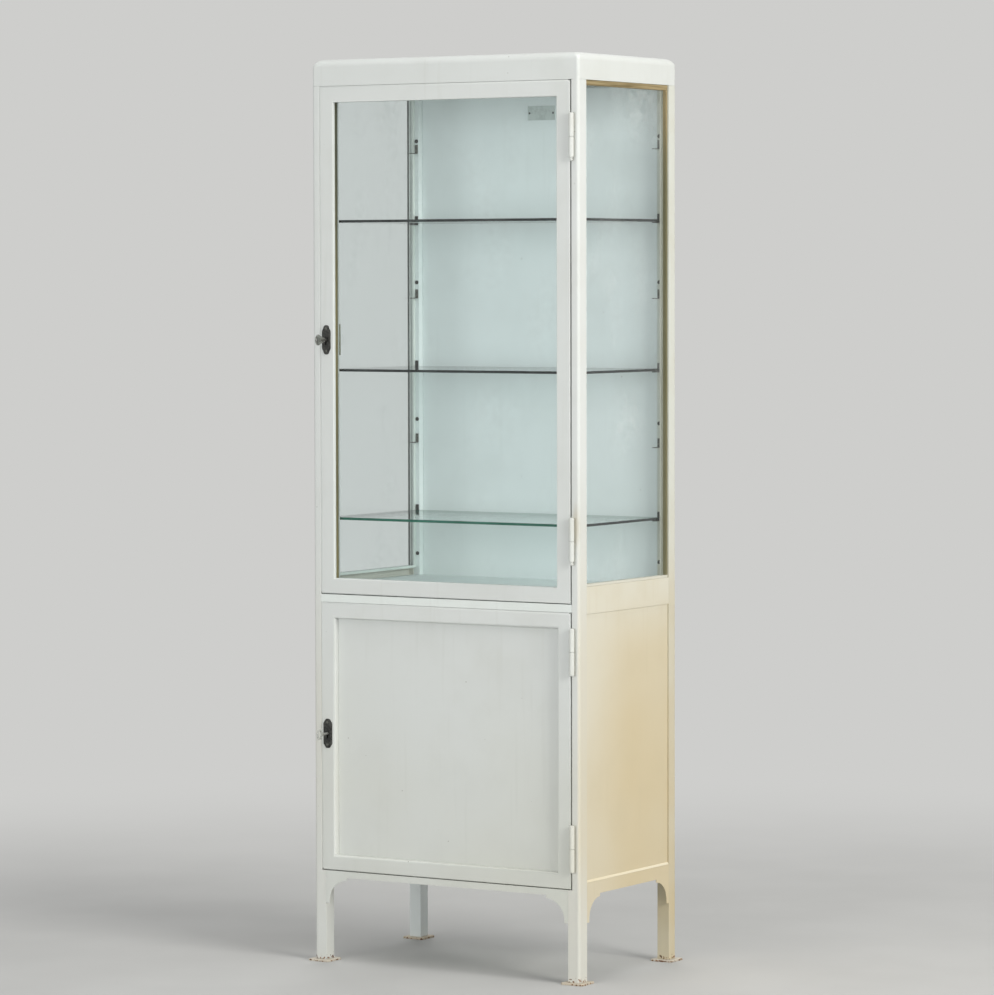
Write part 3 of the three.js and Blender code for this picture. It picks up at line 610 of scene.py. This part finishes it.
def make_screw(name, body, centre, radius, height, material, slot="iron"):
    """A slotted round head that stands out to the front: a seat, and half a crown on each side of a slot."""
    builder = Builder()

    def place(outline, rise):
        return [(centre[0] + p[0], centre[1] - rise, centre[2] + p[1]) for p in outline]

    seat, shoulder, cheek = circle((0, 0), radius), 0.45 * height, 0.6 * height
    builder.loft([place(seat, 0), place(seat, shoulder)], wear=[0, 1])
    rim, gap, taper = 0.94 * radius, 0.16 * radius, 0.72
    start = math.asin(gap / rim)
    arc = [start + (math.pi - 2 * start) * k / 12 for k in range(13)]
    for way in (-1, 1):
        half = [(rim * math.cos(a), way * rim * math.sin(a)) for a in arc]
        crown = [(taper * p[0], way * max(gap, taper * abs(p[1]))) for p in half]
        builder.loft([place(half, shoulder), place(half, cheek), place(crown, height)], wear=[0, 1, 1])
    builder.done(name, body, [material], slot=slot)


# Doors

HINGE_RADIUS = 5.5 * MM
KEYHOLE_HALF, KEYHOLE_DROP, KEYHOLE_RISE = 3.2 * MM, 10 * MM, 3.4 * MM
LOCK_SCREW_RISE = 21.5 * MM


def cut_keyhole(builder, door, limit):
    """Opens both skins of a door's lock stile where the key goes in."""
    axis = JOINTS[f"{door}_key_turn"]["pos_m"]
    x0, x1 = axis[0] - KEYHOLE_HALF, axis[0] + KEYHOLE_HALF
    z0, z1 = axis[2] - KEYHOLE_DROP, axis[2] + KEYHOLE_RISE
    rims = []
    for face in builder.mesh.faces[:]:
        xs, ys, zs = zip(*(vert.co for vert in face.verts))
        if max(ys) - min(ys) > 1e-6 or not (min(zs) < z0 and max(zs) > z1):
            continue
        if not (min(xs) < x0 and x1 < max(xs) < limit):
            continue
        corners = face.verts[:]
        middle = face.calc_center_median()
        builder.mesh.faces.remove(face)
        rim = []
        for corner in corners:
            x = x0 if corner.co.x < middle.x else x1
            z = z0 if corner.co.z < middle.z else z1
            rim.append(builder.mesh.verts.new((x, corner.co.y, z)))
        for i in range(4):
            j = (i + 1) % 4
            builder.face((corners[i], corners[j], rim[j], rim[i]), 0)
        rims.append(rim)
    front, back = rims
    behind = {(vert.co.x, vert.co.z): vert for vert in back}
    for i in range(4):
        first, second = front[i], front[(i + 1) % 4]
        builder.face((first, second, behind[second.co.x, second.co.z], behind[first.co.x, first.co.z]), 0)


def make_door_frame(door, inner_bend):
    """A frame folded from one sheet: a return at the rim, a flat face and a reveal around the opening."""
    name = f"{door}_door_frame"
    low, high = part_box(name)
    reveal, outer_bend = 12 * MM, 2.4 * MM
    fold = [(0, high.y - low.y), (0, 0), (DOOR_BAR, 0), (DOOR_BAR, reveal)]
    section = folded(fold, [0, outer_bend, inner_bend, 0])
    rings = []
    for inset, depth in section:
        x0, x1, z0, z1 = low.x + inset, high.x - inset, low.z + inset, high.z - inset
        rings.append([(x, low.y + depth, z) for x, z in ((x0, z0), (x1, z0), (x1, z1), (x0, z1))])
    builder = Builder().loft(rings, closed=True)
    cut_keyhole(builder, door, low.x + DOOR_BAR)
    builder.done(name + "_fold", f"{door}_door", [WHITE], [name], "white_paint")


def make_lip(door):
    """The thin edge behind a door's face that closes most of the gap on its lock side and top."""
    low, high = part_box(f"{door}_door_frame")
    section = [(-1.4, 0.5), (0.95, 0.5), (1.15, 0.8), (1.15, 3), (-0.4, 3)]
    section = [(out * MM, depth * MM) for out, depth in section]
    rings = [
        [(low.x - out, low.y + depth, low.z + 3 * MM) for out, depth in section],
        [(low.x - out, low.y + depth, high.z + out) for out, depth in section],
        [(high.x - 4 * MM, low.y + depth, high.z + out) for out, depth in section],
    ]
    Builder().loft(rings).done(f"{door}_door_lip", f"{door}_door", [WHITE], slot="white_paint")


def make_putty():
    """The dark putty skins that bed the pane against the stiles of the upper door; their dark colour is putty
    and painted shade in the reveal.
    """
    low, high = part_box("upper_door_frame")
    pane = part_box("upper_door_glass")[0].y - HAIR
    bar = DOOR_BAR + HAIR
    for label, edge, way in (("left", low.x + bar, 1), ("right", high.x - bar, -1)):
        section = [(0, 0), (1.6, 0), (1.2, 0.8), (0.7, 2.6), (0.4, 5), (0, 5.6)]
        outline = [(edge + way * step * MM, pane - rise * MM) for step, rise in section]
        bottom, top = low.z + bar, high.z - bar
        rings = []
        for k in range(25):
            sway = 0.25 * MM * math.sin(1.7 * k) * way
            z = bottom + (top - bottom) * k / 24
            rings.append([(x + (sway if i in (1, 2, 3) else 0), y, z) for i, (x, y) in enumerate(outline)])
        Builder().loft(rings).done(f"upper_door_putty_{label}", "upper_door", [PUTTY_AND_SHADE], slot="putty")


def make_hinge(door, place, ball):
    """A lift-off hinge: two turned barrels on one pin, each with a leaf in the gap beside the door."""
    axis = JOINTS[f"{door}_door_swing"]["pos_m"]
    pin, knuckle = f"{door}_door_{place}_hinge_pin", f"{door}_door_{place}_hinge_knuckle"
    radius = HINGE_RADIUS
    for name, body, upper in ((pin, "cabinet", False), (knuckle, f"{door}_door", True)):
        low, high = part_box(name)
        bottom, top = low.z, high.z
        if upper:
            profile = [(radius - 0.5 * MM, bottom), (radius, bottom + 0.6 * MM), (radius, top - 2.2 * MM),
                       (0.86 * radius, top - 0.8 * MM), (0.5 * radius, top)]
        else:
            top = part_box(knuckle)[0].z - 0.4 * MM
            profile = [(radius, bottom + 9 * MM), (radius, top - 0.6 * MM), (radius - 0.5 * MM, top)]
            if ball:
                tip = [(0.3, 0), (0.6, 0.7), (0.74, 2.2), (0.74, 3.4), (0.5, 5.0), (0.52, 6.4), (0.94, 7.2)]
            else:
                tip = [(0.5, 0), (0.86, 0.8), (1.0, 2.4), (1.0, 6.0)]
            profile = [(share * radius, bottom + rise * MM) for share, rise in tip] + profile
        rings = [upright(circle(axis, size), z) for size, z in profile]
        builder = Builder().loft(rings, wear=[0.6] + [0.25] * (len(rings) - 2) + [0.6])
        inner_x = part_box(f"{door}_door_frame")[1].x + 0.5 * MM
        outer_x = inner_x + 2 * MM
        front = axis[1] + 3 * MM
        rise = 11 * MM
        leaf_z = (bottom + 0.5 * rise, top - rise) if upper else (bottom + rise, top - 0.5 * rise)
        leaf = [(inner_x, front), (outer_x, front), (outer_x, high.y), (inner_x, high.y)]
        builder.loft([upright(leaf, leaf_z[0]), upright(leaf, leaf_z[1])])
        builder.done(name + "_barrel", body, [HINGE], [name], "white_paint")


def across_outline(outline, turn):
    """Where a ray from the middle at one turn leaves a star-shaped outline."""
    ray = Vector((math.cos(turn), math.sin(turn)))
    best = 0.0
    for i, point in enumerate(outline):
        a, b = Vector(outline[i - 1]), Vector(point)
        run = b - a
        spread = ray.cross(run)
        if abs(spread) < 1e-12:
            continue
        share = a.cross(ray) / spread
        reach = a.cross(run) / spread
        if -1e-6 <= share <= 1 + 1e-6:
            best = max(best, reach)
    return ray * best


def make_lock_plate(door, outline):
    """A cast plate with bevelled rims, a keyhole and two slotted screws."""
    name = f"{door}_lock_plate"
    low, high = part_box(name)
    axis = Vector(JOINTS[f"{door}_key_turn"]["pos_m"])
    hole = [(1.3, -9.6), (1.3, -2.4), (2.8, -1), (2.8, 1), (1, 2.8),
            (-1, 2.8), (-2.8, 1), (-2.8, -1), (-1.3, -2.4), (-1.3, -9.6)]
    count = 112
    turns = [2 * math.pi * (i + 0.5) / count for i in range(count)]

    def ring(shape, shrink, depth):
        rim = []
        for turn in turns:
            reach = across_outline(shape, turn)
            reach = reach * MM - reach.normalized() * shrink
            rim.append((axis.x + reach.x, depth, axis.z + reach.y))
        return rim

    rings = [ring(outline, 0, high.y), ring(outline, 0, low.y + 1.1 * MM), ring(outline, 1.3 * MM, low.y),
             ring(hole, 0, low.y), ring(hole, 0, high.y)]
    body = f"{door}_door"
    builder = Builder().loft(rings, closed=True, wear=[0, 1, 1, 0.3, 0])
    builder.done(name + "_cast", body, [IRON], [name], "iron")
    for label, end in (("low", -1), ("high", 1)):
        spot = (axis.x, low.y + HAIR, axis.z + end * LOCK_SCREW_RISE)
        make_screw(f"{door}_lock_screw_{label}", body, spot, 2.8 * MM, 0.9 * MM, CLIP, "steel")


def make_key(door, eye_radius, eye_shift, eye_squash, web):
    """A turned shaft with a collar, a flat bow with an eye, and a notched bit."""
    name = f"{door}_key"
    low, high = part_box(name)
    axis = JOINTS[f"{door}_key_turn"]["pos_m"]
    bow_long, bow_high, half, points = 9 * MM, 10.5 * MM, 1.3 * MM, 36
    middle = (low.y + bow_long, axis[2])
    eye_middle = (middle[0] + eye_shift, axis[2])
    eye = circle(eye_middle, eye_radius, points, eye_squash)
    eye_soft = circle(eye_middle, eye_radius + 0.5 * MM, points, eye_squash)
    rim = circle(middle, bow_long, points, bow_high / bow_long)
    soft = circle(middle, bow_long - 0.7 * MM, points, bow_high / bow_long)
    around = [(soft, 1), (rim, 0.5), (rim, -0.5), (soft, -1),
              (eye_soft, -1), (eye, -0.6), (eye, 0.6), (eye_soft, 1)]
    rings = [sideways(outline, axis[0] + share * half) for outline, share in around]
    builder = Builder().loft(rings, closed=True, wear=[1, 1, 1, 1, 0.4, 0, 0, 0.4])
    if web:
        taper = [(11, -9.6), (22, -6), (31, -3), (31, 3), (22, 6), (11, 9.6)]
        flank = [(low.y + run * MM, axis[2] + rise * MM) for run, rise in taper]
        slab(builder, flank, (axis[0] - 1.25 * MM, axis[0] + 1.25 * MM), sideways, 0.4 * MM)
    start = low.y + 16.8 * MM
    turned = [(1.5, 0), (2.2, 0.6), (3.1, 1.4), (3.1, 2.6), (2.3, 3.4),
              (2.2, 5.0), (2.9, 5.6), (2.9, 6.4), (2.2, 7.2)]
    profile = [(size * MM, start + run * MM) for size, run in turned]
    profile += [(2.2 * MM, high.y - 0.6 * MM), (1.7 * MM, high.y)]
    builder.loft([facing(circle((axis[0], axis[2]), size, 20), y) for size, y in profile])
    bit = [(-6, 0), (0, 0), (0, -7.3), (-1.6, -7.3), (-1.6, -5.4), (-3.4, -5.4), (-3.4, -7.3), (-6, -7.3)]
    blade = [(high.y + (u - 0.1) * MM, axis[2] + v * MM) for u, v in bit]
    builder.loft([sideways(blade, axis[0] - 1 * MM), sideways(blade, axis[0] + 1 * MM)])
    builder.done(name + "_turned", name, [DARK_STEEL if web else STEEL], [name], "steel")


def mirrored(half):
    """A closed outline from its right upper quarter, listed from the side to the end."""
    right = [(x, -z) for x, z in half[::-1]] + half[1:]
    left = [(-x, z) for x, z in right[::-1]][1:-1]
    return right + left


# The lock plates' outlines, in millimetres
LOBED = mirrored([(9.5, 0), (9.9, 9), (9.9, 16), (8.7, 19.3), (7.0, 20.8), (6.5, 23.4), (5.5, 26.2),
                  (3.2, 28), (0, 28.45)])
CLIPPED = mirrored([(9.95, 0), (9.95, 20.3), (8.8, 21.6), (4.7, 27.5), (3.4, 28.4), (0, 28.45)])

for side_name, side in SIDES.items():
    for end_name, end in ENDS.items():
        make_post(side_name, side, end_name, end)
        make_foot(side_name, end_name)
        for count, seat in enumerate(SPARE_CLIP_SEATS):
            make_spare_clip(f"spare_clip_{count}_{end_name}_{side_name}", side_name, end_name, seat)
    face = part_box(f"post_rear_{side_name}")
    edge = face[0].x if side < 0 else face[1].x
    for count, height in enumerate(POST_SCREW_HEIGHTS):
        spot = (edge - side * POST_SCREW_INSET, face[0].y, height)
        make_screw(f"post_screw_{count}_{side_name}", "cabinet", spot, 3.9 * MM, 1.8 * MM, IRON)
    make_ledge(side_name, side)
    make_glazing(side_name, side, STRIP_RIGHT if side > 0 else STRIP_LEFT)
make_lid()
for level in LEVELS:
    make_shelf(level, EDGE_GREEN if level == "bottom" else EDGE_DARK)
make_door_frame("upper", 2 * MM)
make_door_frame("lower", 5 * MM)
for place in ("top", "bottom"):
    make_hinge("upper", place, True)
    make_hinge("lower", place, False)
for door in DOORS:
    make_lip(door)
make_putty()
make_lock_plate("upper", LOBED)
make_lock_plate("lower", CLIPPED)
make_key("upper", 1.9 * MM, -4.9 * MM, 1.9, True)
make_key("lower", 5.2 * MM, -0.4 * MM, 1.32, False)

PLATE_LOW, PLATE_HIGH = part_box("blank_plate")
for count, x in enumerate((PLATE_LOW.x + PLATE_RIVET_INSET, PLATE_HIGH.x - PLATE_RIVET_INSET)):
    spot = (x, PLATE_LOW.y + HAIR, (PLATE_LOW.z + PLATE_HIGH.z) / 2)
    make_screw(f"plate_rivet_{count}", "cabinet", spot, 2 * MM, 0.9 * MM, IRON)


# Finishes on the CAD pieces that stay

def soften(name, material, width):
    """Gives a CAD piece its material and eases its folded edges."""
    node = NODES[name]
    node.data.materials.clear()
    node.data.materials.append(material)
    weld = node.modifiers.new("weld", "WELD")
    weld.merge_threshold = 1e-6
    if width:
        ease = node.modifiers.new("ease", "BEVEL")
        ease.width = width
        ease.segments = 2
        ease.limit_method = "ANGLE"
        ease.angle_limit = math.radians(40)
        ease.harden_normals = True


soften("front_mid_rail", LIT_RAIL, 0.5 * MM)
for name in ("front_apron", "lower_door_panel"):
    soften(name, WHITE, 0.5 * MM)
for name in ("back_panel", "upper_floor", "lower_floor"):
    soften(name, INNER_LIGHTENED, 0.4 * MM)
soften("upper_door_glass", DOOR_GLASS, 0)
soften("upper_door_bead", WHITE, 0.4 * MM)
soften("blank_plate", PLATE, 0.3 * MM)
for side_name, side in SIDES.items():
    finish = CREAM if side > 0 else CREAM_LEFT
    soften(f"side_panel_{side_name}", finish, 0.2 * MM)
    soften(f"side_apron_{side_name}", finish, 0.2 * MM)
    soften(f"side_glass_{side_name}", SIDE_GLASS, 0)
    for end_name in ENDS:
        for level in LEVELS:
            soften(f"shelf_clip_{level}_{end_name}_{side_name}", CLIP, 0.4 * MM)
for door in DOORS:
    soften(f"{door}_lock_case", CASE, 0.3 * MM)
    soften(f"{door}_lock_bolt", STEEL, 0.3 * MM)


# Stage, light and camera

PALE = srgb(206, 206, 204)
FLOOR_RADIUS, FLOOR_POINTS, FLOOR_DROP = 25, 64, 0.0002
LAMP_TARGET = Vector((0, 0, 0.9))
# Fitted to straight edges of the cabinet
LENS, SENSOR_WIDTH = 160.991, 36
CAMERA_PLACE = (4.555461, -7.308427, 1.336701)
CAMERA_AHEAD = Vector((-0.52713671, 0.8482969, -0.05019213))
CAMERA_TILT = math.radians(0.116)


def seen_directly(tree):
    """1 for rays from the camera, mirrors and glass, 0 for the rays that light things."""
    path = tree.nodes.new("ShaderNodeLightPath")
    last = path.outputs["Is Camera Ray"]
    for kind in ("Is Glossy Ray", "Is Transmission Ray"):
        either = tree.nodes.new("ShaderNodeMath")
        either.operation = "MAXIMUM"
        tree.links.new(last, either.inputs[0])
        tree.links.new(path.outputs[kind], either.inputs[1])
        last = either.outputs[0]
    return last


def make_floor():
    """A pale disc that takes shadows near the cabinet and fades into the background further out."""
    g = Graph("pale_floor")
    place = g.place()
    reach = g.length(place)
    colour = g.mix(g.ramp(g.noise(place, 3, 3), 0.3, 0.7), srgb(192, 192, 190), srgb(196, 196, 194))
    near = g.add("ShaderNodeBsdfDiffuse", {"Color": colour}).outputs[0]
    far = g.add("ShaderNodeEmission", {"Color": PALE}).outputs[0]
    fade = g.add("ShaderNodeMath", {
        0: g.ramp(reach, 0.9, 3.2), 1: seen_directly(g.tree),
    }, operation="MULTIPLY").outputs[0]
    material = g.shade(g.add("ShaderNodeMixShader", {0: fade, 1: near, 2: far}).outputs[0])
    mesh = bpy.data.meshes.new("floor")
    rim = upright(circle((0, 0), FLOOR_RADIUS, FLOOR_POINTS), -FLOOR_DROP)
    mesh.from_pydata(rim, [], [list(range(FLOOR_POINTS))])
    mesh.materials.append(material)
    floor = bpy.data.objects.new("floor", mesh)
    bpy.context.scene.collection.objects.link(floor)


def make_world(level):
    """Soft white light from all around, where camera, mirrors and glass see a pale background."""
    world = bpy.data.worlds.new("studio")
    bpy.context.scene.world = world
    world.use_nodes = True
    tree = world.node_tree
    tree.nodes.clear()
    soft = tree.nodes.new("ShaderNodeBackground")
    soft.inputs["Color"].default_value = (1, 1, 1, 1)
    soft.inputs["Strength"].default_value = level
    pale = tree.nodes.new("ShaderNodeBackground")
    pale.inputs["Color"].default_value = PALE
    mix = tree.nodes.new("ShaderNodeMixShader")
    tree.links.new(seen_directly(tree), mix.inputs[0])
    tree.links.new(soft.outputs[0], mix.inputs[1])
    tree.links.new(pale.outputs[0], mix.inputs[2])
    output = tree.nodes.new("ShaderNodeOutputWorld")
    tree.links.new(mix.outputs[0], output.inputs["Surface"])


def make_lamp(name, place, size, power, colour=(1, 1, 1)):
    """A soft box turned to the cabinet's middle."""
    light = bpy.data.lights.new(name, "AREA")
    light.shape = "RECTANGLE"
    light.size, light.size_y = size
    light.energy = power
    light.color = colour
    lamp = bpy.data.objects.new(name, light)
    lamp.location = place
    aim = LAMP_TARGET - lamp.location
    lamp.rotation_euler = aim.to_track_quat("-Z", "Y").to_euler()
    bpy.context.scene.collection.objects.link(lamp)
    return lamp


def make_camera():
    """A long lens at the photograph's viewing angle, rolled by a small tilt."""
    data = bpy.data.cameras.new("photo_camera")
    data.sensor_width = SENSOR_WIDTH
    data.lens = LENS
    camera = bpy.data.objects.new("photo_camera", data)
    level = CAMERA_AHEAD.cross(Vector((0, 0, 1))).normalized()
    down = CAMERA_AHEAD.cross(level)
    right = level * math.cos(CAMERA_TILT) + down * math.sin(CAMERA_TILT)
    up = -CAMERA_AHEAD.cross(right)
    turn = Matrix((right, up, -CAMERA_AHEAD)).transposed()
    camera.matrix_world = Matrix.Translation(CAMERA_PLACE) @ turn.to_4x4()
    bpy.context.scene.collection.objects.link(camera)
    bpy.context.scene.camera = camera


make_floor()
make_world(level=0.3)
make_lamp("key", (4.8, -1.2, 2.4), (2.4, 2.4), 203, (1, 0.985, 0.95)).visible_glossy = False
make_lamp("fill", (-0.3, -5.6, 1.45), (3.2, 2.2), 114, (0.97, 0.99, 1))
make_lamp("top", (0.5, -0.5, 4.6), (3, 2.4), 58)
make_lamp("rear", (-2.5, 3.8, 3.2), (3, 2.4), 80).visible_glossy = False
make_camera()
bpy.context.scene.view_settings.view_transform = "Standard"
